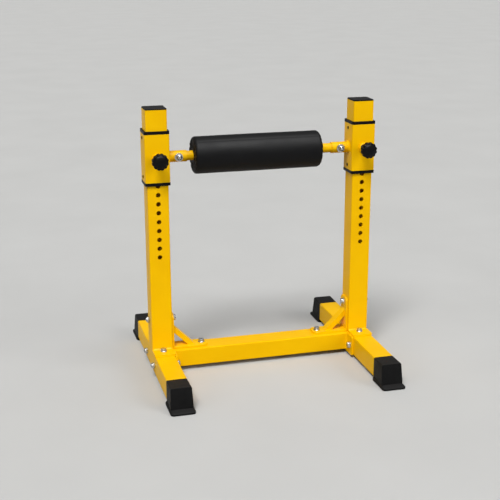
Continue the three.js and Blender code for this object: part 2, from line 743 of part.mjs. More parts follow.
// Knob: scalloped rim, low dome, hollow back that swallows the barrel as the pin goes home
function knobShape() {
  const rim = knobDiameter / 2 - knobRounding;
  const outline = [];
  for (let i = 0; i < knobSteps; i += 1) {
    const angle = (i / knobSteps) * 2 * Math.PI;
    const dip = scallopDepth * ((1 + Math.cos(knobLobes * angle)) / 2) ** 2;
    outline.push([(rim - dip) * Math.cos(angle), (rim - dip) * Math.sin(angle)]);
  }
  const wheel = new THREE.ExtrudeGeometry(polygon(outline), {
    depth: knobRimThickness - 2 * knobRounding,
    bevelThickness: knobRounding,
    bevelSize: knobRounding,
    bevelSegments: bevelSteps,
  });
  const domeFoot = knobDiameter / 2 - knobRounding - scallopDepth;
  const ball = (domeFoot ** 2 + knobDomeRise ** 2) / (2 * knobDomeRise);
  const dome = [[0, knobRimThickness + knobDomeRise]];
  for (let i = 1; i <= shoulderSteps; i += 1) {
    const r = domeFoot * i / shoulderSteps;
    dome.push([r, knobRimThickness + knobDomeRise - ball + Math.sqrt(ball ** 2 - r ** 2)]);
  }
  dome.push([domeFoot, knobRimThickness / 2], [0, knobRimThickness / 2]);
  const whole = join(wheel.translate(0, 0, knobRounding), revolve(dome, pinSteps));
  const recessLength = knobRecessDepth + cutOverrun;
  const recess = rod(barrelDiameter + 2 * knobRecessPlay, recessLength, 'z', pinSteps);
  const socket = rod(2 * pinRodRadius(seatGap), knobSocketDepth + cutOverrun, 'z');
  return cut(
    whole,
    recess.translate(0, 0, recessLength / 2 - cutOverrun),
    socket.translate(0, 0, knobRecessDepth + (knobSocketDepth - cutOverrun) / 2),
  );
}

// Assembly
const sides = [['left', -1], ['right', 1]];
const ends = [['front', -1], ['rear', 1]];
const stand = new THREE.Group();

function addFrame() {
  const frame = new THREE.Group();
  frame.name = 'frame';
  for (const [hand, side] of sides) {
    const x = side * uprightSpacing / 2;
    frame.add(at(mesh(`${hand}_leg`, legShape(), paint), x, 0, soleHeight + legHalf));
    frame.add(at(mesh(`${hand}_upright`, uprightShape(), paint), x, 0, plateBottom));
    frame.add(at(mesh(`${hand}_end_cap`, capShape(), plastic), x, 0, uprightTop));
    for (const [place, end] of ends) {
      const boot = at(mesh(`${place}_${hand}_boot`, bootShape(), rubber), x, end * legTubeLength / 2, 0);
      boot.rotation.z = end > 0 ? Math.PI : 0;
      frame.add(boot);
    }
    const bracket = mesh(`${hand}_bracket`, bracketShape(), paint);
    at(bracket, side * bracketBack, 0, plateBottom);
    bracket.rotation.z = side > 0 ? Math.PI : 0;
    frame.add(bracket);
  }
  frame.add(at(mesh('crossbar', crossbarShape(), paint), 0, 0, legTop - barHeight / 2));
  return frame;
}

// Bolts with their +Z turned to the head's side
function addFrameFasteners() {
  const group = new THREE.Group();
  group.name = 'frame_fasteners';
  const across = 2 * seatGap + plateThickness + seatGap + legSide;
  const down = 2 * seatGap + bracketThickness + barHeight;
  const sideways = 2 * seatGap + bracketThickness + uprightSide;
  for (const [hand, side] of sides) {
    const x = side * uprightSpacing / 2;
    const inward = -side * Math.PI / 2;
    const plateSeat = side * (legInnerFace - 2 * seatGap - plateThickness);
    const legNutSeat = side * (legOuterFace + seatGap);
    for (const [place, end] of ends) {
      const baseBolt = mesh(`${place}_${hand}_base_bolt`, boltShape(baseBoltLength, true), zinc);
      group.add(at(baseBolt, x, end * baseBoltPlace, plateTop + seatGap));
      const endBolt = mesh(`${place}_${hand}_crossbar_bolt`, boltShape(gripLength(across), true), zinc);
      endBolt.rotation.y = inward;
      group.add(at(endBolt, plateSeat, end * endBoltPlace, soleHeight + legHalf));
      const endNut = mesh(`${place}_${hand}_crossbar_nut`, nutShape(), zinc);
      endNut.rotation.y = -inward;
      group.add(at(endNut, legNutSeat, end * endBoltPlace, soleHeight + legHalf));
    }
    const strapFace = bracketBack - bracketThickness - seatGap;
    const wallBolt = mesh(`${hand}_bracket_upright_bolt`, boltShape(gripLength(sideways), true), zinc);
    wallBolt.rotation.y = inward;
    group.add(at(wallBolt, side * strapFace, 0, plateBottom + bracketBoltReach));
    const wallNut = mesh(`${hand}_bracket_upright_nut`, nutShape(), zinc);
    wallNut.rotation.y = -inward;
    const wallNutSeat = side * (uprightSpacing / 2 + uprightHalf + seatGap);
    group.add(at(wallNut, wallNutSeat, 0, plateBottom + bracketBoltReach));
    const barPlace = side * (bracketBack - bracketBoltReach);
    const barBolt = mesh(`${hand}_bracket_crossbar_bolt`, boltShape(gripLength(down), true), zinc);
    group.add(at(barBolt, barPlace, 0, plateBottom + bracketThickness + seatGap));
    const barNut = mesh(`${hand}_bracket_crossbar_nut`, nutShape(), zinc);
    barNut.rotation.x = Math.PI;
    group.add(at(barNut, barPlace, 0, legTop - barHeight - seatGap));
  }
  return group;
}

function addCarriage() {
  const carriage = new THREE.Group();
  carriage.name = 'carriage';
  for (const [hand, side] of sides) {
    const x = side * uprightSpacing / 2;
    carriage.add(at(mesh(`${hand}_sleeve`, sleeveShape(-side), paint), x, 0, 0));
    carriage.add(at(mesh(`${hand}_upper_bush`, bushShape(), plastic), x, 0, sleeveHeight / 2));
    const lowerBush = at(mesh(`${hand}_lower_bush`, bushShape(), plastic), x, 0, -sleeveHeight / 2);
    lowerBush.rotation.x = Math.PI;
    carriage.add(lowerBush);
    const boltX = side * socketBoltPlace;
    const socketFace = socketDiameter / 2 + seatGap;
    const washer = mesh(`${hand}_socket_washer`, washerShape(), zinc);
    washer.rotation.x = Math.PI / 2;
    carriage.add(at(washer, boltX, -socketFace - socketWasherThickness / 2, -shaftDrop));
    const grip = gripLength(2 * socketFace + socketWasherThickness);
    const bolt = mesh(`${hand}_socket_bolt`, boltShape(grip, false), zinc);
    bolt.rotation.x = -Math.PI / 2;
    carriage.add(at(bolt, boltX, socketFace, -shaftDrop));
    const nut = mesh(`${hand}_socket_nut`, nutShape(), zinc);
    nut.rotation.x = Math.PI / 2;
    carriage.add(at(nut, boltX, -socketFace - socketWasherThickness - seatGap, -shaftDrop));
  }
  carriage.add(at(mesh('roller_shaft', shaftShape(), paint), 0, 0, -shaftDrop));
  return carriage;
}

function addRoller() {
  const roller = new THREE.Group();
  roller.name = 'roller';
  roller.add(mesh('roller_cover', coverShape(), vinyl));
  roller.add(mesh('roller_foam', foamShape(), foam));
  const core = ringShape(coreDiameter, coreDiameter - 2 * coreWall, -coreHalf, coreHalf, shaftSteps);
  roller.add(mesh('roller_core', core, steel));
  for (const [hand, side] of sides) {
    const bush = at(mesh(`${hand}_roller_bush`, rollerBushShape(), plastic), 0, 0, side * coreHalf);
    bush.rotation.x = side > 0 ? 0 : Math.PI;
    roller.add(bush);
  }
  roller.rotation.y = Math.PI / 2;
  return at(roller, -rollerDrift, 0, -shaftDrop);
}

function addPin(hand, side) {
  const pin = new THREE.Group();
  pin.name = `${hand}_pin_set`;
  pin.add(mesh(`${hand}_pin_barrel`, barrelShape(), steel));
  pin.add(mesh(`${hand}_plunger`, plungerShape(), steel));
  pin.add(mesh(`${hand}_pin_spring`, springShape(), steel));
  pin.add(at(mesh(`${hand}_knob`, knobShape(), plastic), 0, 0, knobBack));
  pin.rotation.x = Math.PI / 2;
  return at(pin, side * uprightSpacing / 2, 0, 0);
}

stand.name = 'squat_stand';
stand.add(addFrame(), addFrameFasteners());
const slider = new THREE.Group();
slider.add(addCarriage(), addRoller(), ...sides.map(([hand, side]) => addPin(hand, side)));
stand.add(at(slider, 0, 0, axisHeight));

export default stand;
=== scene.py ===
import json
import math

import bmesh
import bpy
from mathutils import Matrix, Vector, noise


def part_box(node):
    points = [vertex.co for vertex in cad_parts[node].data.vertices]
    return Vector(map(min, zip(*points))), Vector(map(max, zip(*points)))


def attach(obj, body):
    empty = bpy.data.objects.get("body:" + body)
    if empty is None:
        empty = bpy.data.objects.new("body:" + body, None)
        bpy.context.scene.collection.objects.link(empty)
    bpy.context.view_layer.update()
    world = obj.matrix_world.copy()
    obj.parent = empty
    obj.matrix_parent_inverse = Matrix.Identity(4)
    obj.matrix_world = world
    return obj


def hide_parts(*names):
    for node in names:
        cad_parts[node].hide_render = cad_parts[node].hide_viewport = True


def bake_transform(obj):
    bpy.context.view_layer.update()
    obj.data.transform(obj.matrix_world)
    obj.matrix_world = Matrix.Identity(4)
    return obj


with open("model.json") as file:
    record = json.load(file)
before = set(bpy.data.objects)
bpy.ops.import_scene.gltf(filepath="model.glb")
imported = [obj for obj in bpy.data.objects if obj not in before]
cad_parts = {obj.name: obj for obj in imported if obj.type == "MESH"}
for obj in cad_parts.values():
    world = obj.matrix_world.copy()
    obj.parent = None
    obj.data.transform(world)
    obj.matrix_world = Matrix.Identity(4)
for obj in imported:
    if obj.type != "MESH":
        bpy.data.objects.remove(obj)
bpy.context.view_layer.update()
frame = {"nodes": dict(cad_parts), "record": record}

# An adjustable squat stand: powder-coated tubes, rubber boots, sliding sleeves with
# spring pull-pins, and a padded roller. Metres, +Z up, +X to the right, +Y to the rear.
MM = 0.001
FULL_TURN = 2 * math.pi
X, Y, Z = 0, 1, 2
UP = Vector((0, 0, 1))
SIDES = {"left": -1, "right": 1}
ENDS = ("front", "rear")
SLOT_OF = {row["node"]: row["material_slot"] for row in frame["record"]["subparts"]}

# Camera, fitted to corners of the stand in a 500 x 500 picture
CAMERA_PLACE = Vector((-0.6643, -2.3665, 1.0264))
CAMERA_YAW = math.radians(15.109)
CAMERA_PITCH = math.radians(-16.662)
CAMERA_ROLL = math.radians(-0.156)
CAMERA_SENSOR = 36.0
CAMERA_LENS = 73.91

# Studio
FLOOR_SIZE = 60.0
FLOOR_COLOUR = (198, 198, 196)
FLOOR_CLOUD = (194, 194, 192)  # the floor's slightly darker patches
FLOOR_BOUNCE = (108, 108, 107)  # the floor's colour for the light that it throws back
FLOOR_ROUGHNESS = 0.7
SKY_COLOUR = (238, 238, 239)
SKY_STRENGTH = 0.3
LIGHT_TARGET = Vector((0.0, 0.0, 0.3))
# Broad lights that reach the whole floor evenly: (direction, strength, angle, whether it
# shows as a highlight)
SUNS = {
    "overhead": (Vector((0.35, 0.6, -1.0)), 2.5, math.radians(22), True),
    "key": (Vector((-2.4, 2.2, -1.4)), 1.22, math.radians(38), False),
    "fill": (Vector((3.0, 1.2, -1.2)), 0.4, math.radians(34), False),
}
# A lamp that shows as a highlight alone
GLINT_PLACE = Vector((0.25, -0.7, 2.6))
GLINT_SIZE = 1.4
GLINT_POWER = 72.0

# Textures
NOISE_LOW, NOISE_HIGH = 0.3, 0.7  # a noise texture mostly stays between these
DUST_AND_TOP_LIGHT_SLOPE = 0.4  # the dust and painted top light start where the upward part of a face's normal passes this

# Edges of the CAD nodes
WELD_DISTANCE = 0.01 * MM
FLAT_ANGLE = math.radians(0.4)
EDGE_ANGLE = math.radians(34)
EDGE_WIDTHS = {"frame_paint": 0.7 * MM, "boot_rubber": 1.2 * MM, "black_plastic": 0.4 * MM}
EDGE_WIDTH_OTHERS = 0.3 * MM
EDGE_SEGMENTS = 2
NORMAL_WEIGHT = 80

# M8 bolts
BOLT_RADIUS = 4.0 * MM
BOLT_TIP_RADIUS = 3.0 * MM
BOLT_TIP_HEIGHT = 0.8 * MM
HEAD_ACROSS = 13.0 * MM
HEAD_HEIGHT = 5.5 * MM
HEAD_ROOT = 0.2 * MM  # the flats stop this far above the flange
HEAD_DISH = 0.25 * MM
# Radii as shares of the width across flats: of a head's dish, each with the share of the
# dish's depth, of a bearing face, and of the circle where a chamfer starts
DISH_SHARES = ((0.28, 1.0), (0.4, 0.5), (0.45, 0.0))
FACE_SHARE = 0.46
CHAMFER_SHARE = 0.475
CHAMFER_SLOPE = 0.55
EDGE_BREAK = 0.1 * MM
FLANGE_RADIUS = 8.5 * MM
FLANGE_HEIGHT = 1.6 * MM
# Share of the flange's height: how far its edge lies inside its radius there
FLANGE_INSETS = {1.0: 0.7 * MM, 0.6: 0.2 * MM, 0.3: 0.0, 0.0: 0.1 * MM}
THREAD_PITCH = 1.25 * MM
THREAD_DEPTH = 0.35 * MM
THREAD_LENGTH = 5.0 * MM
THREAD_RUNOUT = 0.2 * MM
THREAD_TURN_RINGS = 6
FASTENER_STEPS = 48

# M8 lock nuts and washers
NUT_HEIGHT = 6.5 * MM
NUT_BORE = 4.2 * MM
NUT_COLLAR_RADIUS = 5.8 * MM
NUT_COLLAR_ROUNDING = 0.4 * MM
NUT_INSERT_RADIUS = 5.2 * MM
NUT_INSERT_DEPTH = 0.5 * MM
NUT_INSERT_DISH = 0.2 * MM
WASHER_EDGE = 0.3 * MM

# Scalloped knobs
KNOB_LOBES = 12
KNOB_STEPS = 16 * KNOB_LOBES
KNOB_DIP = 1.5 * MM
KNOB_DIP_POWER = 1.5  # above 1 it narrows the dips and widens the lobes
KNOB_SWELL = 1.02  # the moulded rim stands out past the faceted one
KNOB_RECESS = 8.5 * MM
KNOB_RECESS_DEPTH = 9.0 * MM
KNOB_RECESS_LIP = 0.4 * MM
KNOB_SOCKET = 3.3 * MM
KNOB_SOCKET_DEPTH = 17.0 * MM
KNOB_ROUNDING = 4.0 * MM
KNOB_DOME_SHARE = 0.25  # of the knob's depth
# Outlines in shares: (of the rim's radius, of the rounding, of the dips' depth)
KNOB_BACK_SHARES = ((0.84, 0, 0.4), (0.93, 0.175, 0.8), (0.985, 0.55, 1), (1, 1, 1))
KNOB_FRONT_SHARES = ((1, -1, 1), (0.985, -0.55, 1), (0.94, -0.2, 0.9), (0.87, 0, 0.6))
KNOB_GROOVE_SHARES = ((0.81, 0.05, 0.2), (0.785, -0.075, 0), (0.76, 0.1, 0))
# (of the rim's radius, of the dome's height)
DOME_SHARES = ((0.66, 0.42), (0.5, 0.7), (0.3, 0.9), (0.1, 1))

# Button heads over the holes that lock the bushes into the sleeves
BUTTON_INSET = 11.0 * MM  # from the sleeve's end
BUSH_PROUD = 0.3 * MM  # the bush's flange past the sleeve's face
BUTTON_SEAT = 0.04 * MM
# (radius, height above the sleeve's face)
BUTTON_STEM = ((3.1 * MM, -0.2 * MM), (3.1 * MM, BUTTON_SEAT))
BUTTON_EDGE = ((3.9 * MM, BUTTON_SEAT), (4.1 * MM, 0.3 * MM), (3.9 * MM, 0.9 * MM))
BUTTON_CROWN = ((3.2 * MM, 1.4 * MM), (2.0 * MM, 1.7 * MM), (0.6 * MM, 1.8 * MM))

# Pin springs
SPRING_TURNS = 4
SPRING_TURN_STEPS = 36
SPRING_CLOSING = 0.7  # how far the end coils close up
WIRE_RADIUS = 0.5 * MM
WIRE_TIP_SHARE = 0.7  # of the wire's radius
WIRE_STEPS = 14

# Padded roller
ROLLER_STEPS = 288
ROLLER_SPANS = 150
END_SPANS = 26
SHOULDER_SPANS = 12
ROLLER_SHOULDER = 8.5 * MM
ROLLER_EYE = 12.9 * MM
ROLLER_BORE = 16.4 * MM
END_ROOM = 0.6 * MM  # the cover stops this far inside its CAD solid's ends
END_THICKNESS = 1.0 * MM
END_DISH = 0.3 * MM
EYE_LIP = 0.3 * MM
EYE_LIP_START = 0.42 * MM  # from the cover's end
PAD_UNEVEN = 0.45 * MM
PAD_UNEVEN_ROUND = 1.6  # radius of the circle on which the noise is read
PAD_UNEVEN_ALONG = 11  # units of the noise to a metre
RIM_RIPPLE = 0.35 * MM
RIM_RIPPLE_REACH = 12 * MM  # over which the ripple fades along the side
SEAM_ANGLE = math.radians(125)
SEAM_ARM = 43 * MM  # turns the angle from the seam into a distance
SEAM_WIDTH = 2.4 * MM
SEAM_DEPTH = 0.4 * MM

# Gathers round the eyes of the roller's cover
FOLD_COUNT = 17
FOLD_DEPTH = 7.0 * MM
FOLD_START = 0.09  # share of the depth over the end bush
FOLD_OPENING = 4.0 * MM
FOLD_END_SHARE = 0.3  # share of the shoulder that stays smooth
FOLD_POWER = 0.5  # below 1 it puffs the crests and narrows the creases
FOLD_SEED = 3.0
# Noise moves the creases sideways, in radians of their wave, and changes their size
FOLD_DRIFT = 1.6
FOLD_DRIFT_ROUND = 1.7
FOLD_SIZE = 0.8
FOLD_SIZE_SPREAD = 0.6
FOLD_SIZE_ROUND = 3
FOLD_SIZE_SEED = 9


# Materials
def srgb(red, green, blue):
    """A display colour of 0 to 255 as the linear colour that the shaders take."""

    def linear(value):
        share = value / 255
        return share / 12.92 if share <= 0.04045 else ((share + 0.055) / 1.055) ** 2.4

    return (linear(red), linear(green), linear(blue), 1.0)


def start_material(name, specular=0.5, metallic=0.0):
    material = bpy.data.materials.new(name)
    material.use_nodes = True
    shader = material.node_tree.nodes["Principled BSDF"]
    shader.inputs["Specular IOR Level"].default_value = specular
    shader.inputs["Metallic"].default_value = metallic
    return material, material.node_tree, shader


def link_surface(tree, shader, colour, roughness, normal):
    tree.links.new(colour, shader.inputs["Base Color"])
    tree.links.new(roughness, shader.inputs["Roughness"])
    tree.links.new(normal, shader.inputs["Normal"])


def place_texture(tree, texture, scale):
    place = tree.nodes.new("ShaderNodeTexCoord")
    texture.inputs["Scale"].default_value = scale
    tree.links.new(place.outputs["Object"], texture.inputs["Vector"])


def add_noise(tree, scale, detail=2.0, rough=0.5):
    texture = tree.nodes.new("ShaderNodeTexNoise")
    texture.inputs["Detail"].default_value = detail
    texture.inputs["Roughness"].default_value = rough
    place_texture(tree, texture, scale)
    return texture.outputs["Fac"]


def add_cells(tree, scale):
    texture = tree.nodes.new("ShaderNodeTexVoronoi")
    texture.feature = "DISTANCE_TO_EDGE"
    place_texture(tree, texture, scale)
    return texture.outputs["Distance"]


def add_ramp(tree, source, low, high):
    ramp = tree.nodes.new("ShaderNodeValToRGB")
    start, end = ramp.color_ramp.elements
    start.position = NOISE_LOW
    start.color = srgb(*low)
    end.position = NOISE_HIGH
    end.color = srgb(*high)
    tree.links.new(source, ramp.inputs["Fac"])
    return ramp.outputs["Color"]


def add_spread(tree, source, source_low, source_high, low, high):
    """Spreads a source's values over another range."""
    spread = tree.nodes.new("ShaderNodeMapRange")
    spread.inputs["From Min"].default_value = source_low
    spread.inputs["From Max"].default_value = source_high
    spread.inputs["To Min"].default_value = low
    spread.inputs["To Max"].default_value = high
    tree.links.new(source, spread.inputs["Value"])
    return spread.outputs["Result"]


def add_range(tree, source, low, high):
    """Spreads a noise texture's values over another range."""
    return add_spread(tree, source, NOISE_LOW, NOISE_HIGH, low, high)


def add_mix(tree, share, first, second):
    mix = tree.nodes.new("ShaderNodeMixRGB")
    tree.links.new(share, mix.inputs["Fac"])
    for source, name in ((first, "Color1"), (second, "Color2")):
        if isinstance(source, tuple):
            mix.inputs[name].default_value = source
        else:
            tree.links.new(source, mix.inputs[name])
    return mix.outputs["Color"]


def add_dust_and_painted_top_light(tree, colour, dust_and_top_light, share):
    """Mixes a lighter colour over a colour on the faces that look up: a little dust, and painted
    light from above.
    """
    face = tree.nodes.new("ShaderNodeNewGeometry")
    split = tree.nodes.new("ShaderNodeSeparateXYZ")
    tree.links.new(face.outputs["Normal"], split.inputs["Vector"])
    cover = add_spread(tree, split.outputs["Z"], DUST_AND_TOP_LIGHT_SLOPE, 1.0, 0.0, share)
    return add_mix(tree, cover, colour, srgb(*dust_and_top_light))


def add_bump(tree, source, height, under=None):
    bump = tree.nodes.new("ShaderNodeBump")
    bump.inputs["Strength"].default_value = 1.0
    bump.inputs["Distance"].default_value = height
    tree.links.new(source, bump.inputs["Height"])
    if under is not None:
        tree.links.new(under, bump.inputs["Normal"])
    return bump.outputs["Normal"]


def make_paint():
    """Satin yellow powder coat with a fine orange peel."""
    material, tree, shader = start_material("yellow_powder_coat", specular=0.09)
    patches = add_noise(tree, scale=14.0, detail=3.0)
    colour = add_ramp(tree, patches, low=(246, 188, 0), high=(251, 195, 1))
    roughness = add_range(tree, add_noise(tree, scale=60.0, detail=4.0), low=0.34, high=0.44)
    waves = add_bump(tree, add_noise(tree, scale=420.0), height=0.03 * MM)
    fine = add_noise(tree, scale=1500.0, detail=1.0)
    peel = add_bump(tree, fine, height=0.012 * MM, under=waves)
    link_surface(tree, shader, colour, roughness, peel)
    return material


def make_rubber():
    """Moulded black rubber with a fine stipple, and upward faces lighter with a little dust and
    painted light from above.
    """
    material, tree, shader = start_material("black_rubber", specular=0.14)
    dust = add_noise(tree, scale=35.0, detail=5.0, rough=0.65)
    black = add_ramp(tree, dust, low=(8, 8, 8), high=(15, 15, 15))
    # Upward faces are lighter: a little dust, and painted light from above
    colour = add_dust_and_painted_top_light(tree, black, dust_and_top_light=(42, 41, 40), share=0.36)
    roughness = add_range(tree, dust, low=0.5, high=0.66)
    stipple = add_bump(tree, add_cells(tree, scale=900.0), height=0.1 * MM)
    dents = add_noise(tree, scale=120.0, detail=3.0)
    uneven = add_bump(tree, dents, height=0.15 * MM, under=stipple)
    link_surface(tree, shader, colour, roughness, uneven)
    return material


def make_plastic():
    """Moulded black plastic with a spark-eroded grain."""
    material, tree, shader = start_material("black_plastic", specular=0.12)
    grain = add_noise(tree, scale=1100.0, detail=3.0, rough=0.6)
    colour = add_ramp(tree, add_noise(tree, scale=40.0), low=(7, 7, 8), high=(12, 12, 13))
    roughness = add_range(tree, grain, low=0.36, high=0.5)
    link_surface(tree, shader, colour, roughness, add_bump(tree, grain, height=0.04 * MM))
    return material


def make_zinc():
    """Bright zinc plate, a little cloudy."""
    material, tree, shader = start_material("zinc_plate", metallic=1.0)
    clouds = add_noise(tree, scale=260.0, detail=4.0, rough=0.6)
    colour = add_ramp(tree, clouds, low=(176, 178, 182), high=(206, 206, 204))
    roughness = add_range(tree, clouds, low=0.22, high=0.36)
    grain = add_bump(tree, add_noise(tree, scale=1800.0), height=0.01 * MM)
    link_surface(tree, shader, colour, roughness, grain)
    return material


def make_steel():
    """Blackened steel with fine tool marks."""
    material, tree, shader = start_material("blackened_steel", metallic=1.0)
    marks = add_noise(tree, scale=900.0)
    colour = add_ramp(tree, marks, low=(44, 45, 47), high=(66, 67, 70))
    roughness = add_range(tree, marks, low=0.3, high=0.44)
    link_surface(tree, shader, colour, roughness, add_bump(tree, marks, height=0.01 * MM))
    return material


def make_vinyl():
    """Black upholstery vinyl with a fine leather grain and a satin sheen."""
    material, tree, shader = start_material("black_vinyl", specular=0.16)
    wear = add_noise(tree, scale=22.0, detail=4.0, rough=0.6)
    colour = add_ramp(tree, wear, low=(7, 7, 8), high=(12, 12, 13))
    roughness = add_range(tree, wear, low=0.5, high=0.6)
    pebbles = add_bump(tree, add_cells(tree, scale=620.0), height=0.16 * MM)
    wrinkles = add_noise(tree, scale=240.0, detail=5.0, rough=0.6)
    creases = add_bump(tree, wrinkles, height=0.12 * MM, under=pebbles)
    soft = add_bump(tree, add_noise(tree, scale=45.0), height=0.3 * MM, under=creases)
    link_surface(tree, shader, colour, roughness, soft)
    return material


MATERIALS = {
    "frame_paint": make_paint(),
    "boot_rubber": make_rubber(),
    "black_plastic": make_plastic(),
    "zinc_plate": make_zinc(),
    "pin_steel": make_steel(),
    "roller_vinyl": make_vinyl(),
}
MATERIALS["roller_foam"] = MATERIALS["roller_vinyl"]  # the foam is never in view


# Pieces
def dress(piece, slot):
    """Gives a piece the material of one of the record's slots."""
    piece.data.materials.clear()
    piece.data.materials.append(MATERIALS[slot])


def finish_piece(piece, slot, body, *nodes):
    dress(piece, slot)
    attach(piece, body)
    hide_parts(*nodes)
    return piece


def skin(name, rings, closed=False):
    """A smooth mesh over rings of equal point count, capped unless it closes on itself."""
    count = len(rings[0])
    points = [point for ring in rings for point in ring]
    faces = []
    spans = len(rings) if closed else len(rings) - 1
    for span in range(spans):
        here = span * count
        there = (span + 1) % len(rings) * count
        for step in range(count):
            after = (step + 1) % count
            faces.append((here + step, here + after, there + after, there + step))
    if not closed:
        faces.append(tuple(reversed(range(count))))
        faces.append(tuple(range(len(points) - count, len(points))))
    mesh = bpy.data.meshes.new(name)
    mesh.from_pydata(points, [], faces)
    work = bmesh.new()
    work.from_mesh(mesh)
    bmesh.ops.recalc_face_normals(work, faces=work.faces)
    work.to_mesh(mesh)
    work.free()
    mesh.shade_smooth()
    piece = bpy.data.objects.new(name, mesh)
    bpy.context.scene.collection.objects.link(piece)
    return piece


def add_weighted_normals(piece):
    weighted = piece.modifiers.new("weighted_normals", "WEIGHTED_NORMAL")
    weighted.mode = "FACE_AREA"
    weighted.weight = NORMAL_WEIGHT


def soften_edges(piece, width):
    """Fine rounded edges on a faceted CAD node."""
    weld = piece.modifiers.new("weld", "WELD")
    weld.merge_threshold = WELD_DISTANCE
    dissolve = piece.modifiers.new("flat_faces", "DECIMATE")
    dissolve.decimate_type = "DISSOLVE"
    dissolve.angle_limit = FLAT_ANGLE
    bevel = piece.modifiers.new("edges", "BEVEL")
    bevel.limit_method = "ANGLE"
    bevel.angle_limit = EDGE_ANGLE
    bevel.width = width
    bevel.segments = EDGE_SEGMENTS
    bevel.use_clamp_overlap = True
    piece.data.shade_smooth()
    add_weighted_normals(piece)


def dress_nodes():
    """Materials on every CAD node, and fine edges on those that stay in view."""
    for name, node in frame["nodes"].items():
        slot = SLOT_OF[name]
        dress(node, slot)
        if not node.hide_render:
            soften_edges(node, EDGE_WIDTHS.get(slot, EDGE_WIDTH_OTHERS))


# Places and sizes of the CAD nodes
def node_size(node):
    low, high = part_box(node)
    return [end - start for start, end in zip(low, high)]


def face_middle(node, axis, sign):
    """The middle of the face at one end of a node's box."""
    low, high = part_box(node)
    middle = (low + high) / 2
    middle[axis] = high[axis] if sign > 0 else low[axis]
    return middle


def pointing(axis, sign):
    direction = Vector()
    direction[axis] = sign
    return direction


# Turned pieces: rings round +Z, which are then put in place
def angles(steps):
    return [FULL_TURN * step / steps for step in range(steps)]


def polar(radius, angle, height):
    return Vector((radius * math.cos(angle), radius * math.sin(angle), height))


def circle(radius, height):
    return [polar(radius, angle, height) for angle in angles(FASTENER_STEPS)]


def put(name, rings, place, direction, slot, body, *nodes, closed=False):
    """A piece made along +Z, with its origin at a place and its +Z along a direction."""
    piece = skin(name, rings, closed)
    turn = direction.to_track_quat("Z", "Y").to_matrix().to_4x4()
    piece.data.transform(Matrix.Translation(place) @ turn)
    add_weighted_normals(piece)
    return finish_piece(piece, slot, body, *nodes)


# Fasteners
def hexagon(height, drop_sign=0):
    """A ring round a hexagon. With a drop sign its corners fall away as a chamfer does."""
    sector = FULL_TURN / 6
    ring = []
    for angle in angles(FASTENER_STEPS):
        reach = HEAD_ACROSS / 2 / math.cos(angle % sector - sector / 2)
        drop = drop_sign * CHAMFER_SLOPE * (reach - CHAMFER_SHARE * HEAD_ACROSS)
        ring.append(polar(reach, angle, height - drop))
    return ring


def bearing_face(height):
    return circle(FACE_SHARE * HEAD_ACROSS, height)


def thread_rings(low, high):
    """Rings of a helical thread from low to high."""
    count = max(2, round((high - low) / THREAD_PITCH * THREAD_TURN_RINGS))
    rings = []
    for level in range(count + 1):
        height = low + (high - low) * level / count
        ring = []
        for angle in angles(FASTENER_STEPS):
            wave = math.cos(FULL_TURN * height / THREAD_PITCH - angle)
            ring.append(polar(BOLT_RADIUS - THREAD_DEPTH * (1 + wave) / 2, angle, height))
        rings.append(ring)
    return rings


def make_bolt(node, body, axis, head_sign, flanged=True):
    """A hex bolt over its CAD node, with its head at the sign's end of the node's box."""
    length = node_size(node)[axis]
    seat = -HEAD_HEIGHT - (FLANGE_HEIGHT if flanged else 0)
    rings = [circle(across * HEAD_ACROSS, -dip * HEAD_DISH) for across, dip in DISH_SHARES]
    rings += [hexagon(0, drop_sign=1), hexagon(HEAD_ROOT - HEAD_HEIGHT)]
    if flanged:
        for share, inset in FLANGE_INSETS.items():
            rings.append(circle(FLANGE_RADIUS - inset, seat + share * FLANGE_HEIGHT))
    else:
        rings += [hexagon(seat + EDGE_BREAK), bearing_face(seat)]
    rings += [circle(BOLT_RADIUS, seat), circle(BOLT_RADIUS, THREAD_LENGTH - length)]
    thread_end = THREAD_LENGTH - length - THREAD_RUNOUT
    rings += reversed(thread_rings(BOLT_TIP_HEIGHT - length, thread_end))
    rings.append(circle(BOLT_TIP_RADIUS, -length))
    crown = face_middle(node, axis, head_sign)
    direction = pointing(axis, head_sign)
    return put(node + "_piece", rings, crown, direction, "zinc_plate", body, node)


def make_nut(node, body, axis, rise_sign):
    """A lock nut over its CAD node, with its collar at the sign's end of the node's box."""
    height = node_size(node)[axis]
    rings = [
        circle(NUT_BORE, 0),
        bearing_face(0),
        hexagon(EDGE_BREAK, drop_sign=-1),
        hexagon(NUT_HEIGHT - EDGE_BREAK, drop_sign=1),
        bearing_face(NUT_HEIGHT),
        circle(NUT_COLLAR_RADIUS, NUT_HEIGHT + EDGE_BREAK),
        circle(NUT_COLLAR_RADIUS - EDGE_BREAK, height - NUT_COLLAR_ROUNDING),
        circle(NUT_COLLAR_RADIUS - NUT_COLLAR_ROUNDING, height),
    ]
    insert_start = len(rings)
    rings += [
        circle(NUT_INSERT_RADIUS, height - EDGE_BREAK),
        circle(NUT_INSERT_RADIUS - EDGE_BREAK, height - NUT_INSERT_DEPTH),
        circle(NUT_BORE, height - NUT_INSERT_DEPTH - NUT_INSERT_DISH),
    ]
    foot = face_middle(node, axis, -rise_sign)
    direction = pointing(axis, rise_sign)
    nut = put(node + "_piece", rings, foot, direction, "zinc_plate", body, node, closed=True)
    nut.data.materials.append(MATERIALS["black_plastic"])
    for face in nut.data.polygons:
        if face.index // FASTENER_STEPS in (insert_start, insert_start + 1):
            face.material_index = 1
    return nut


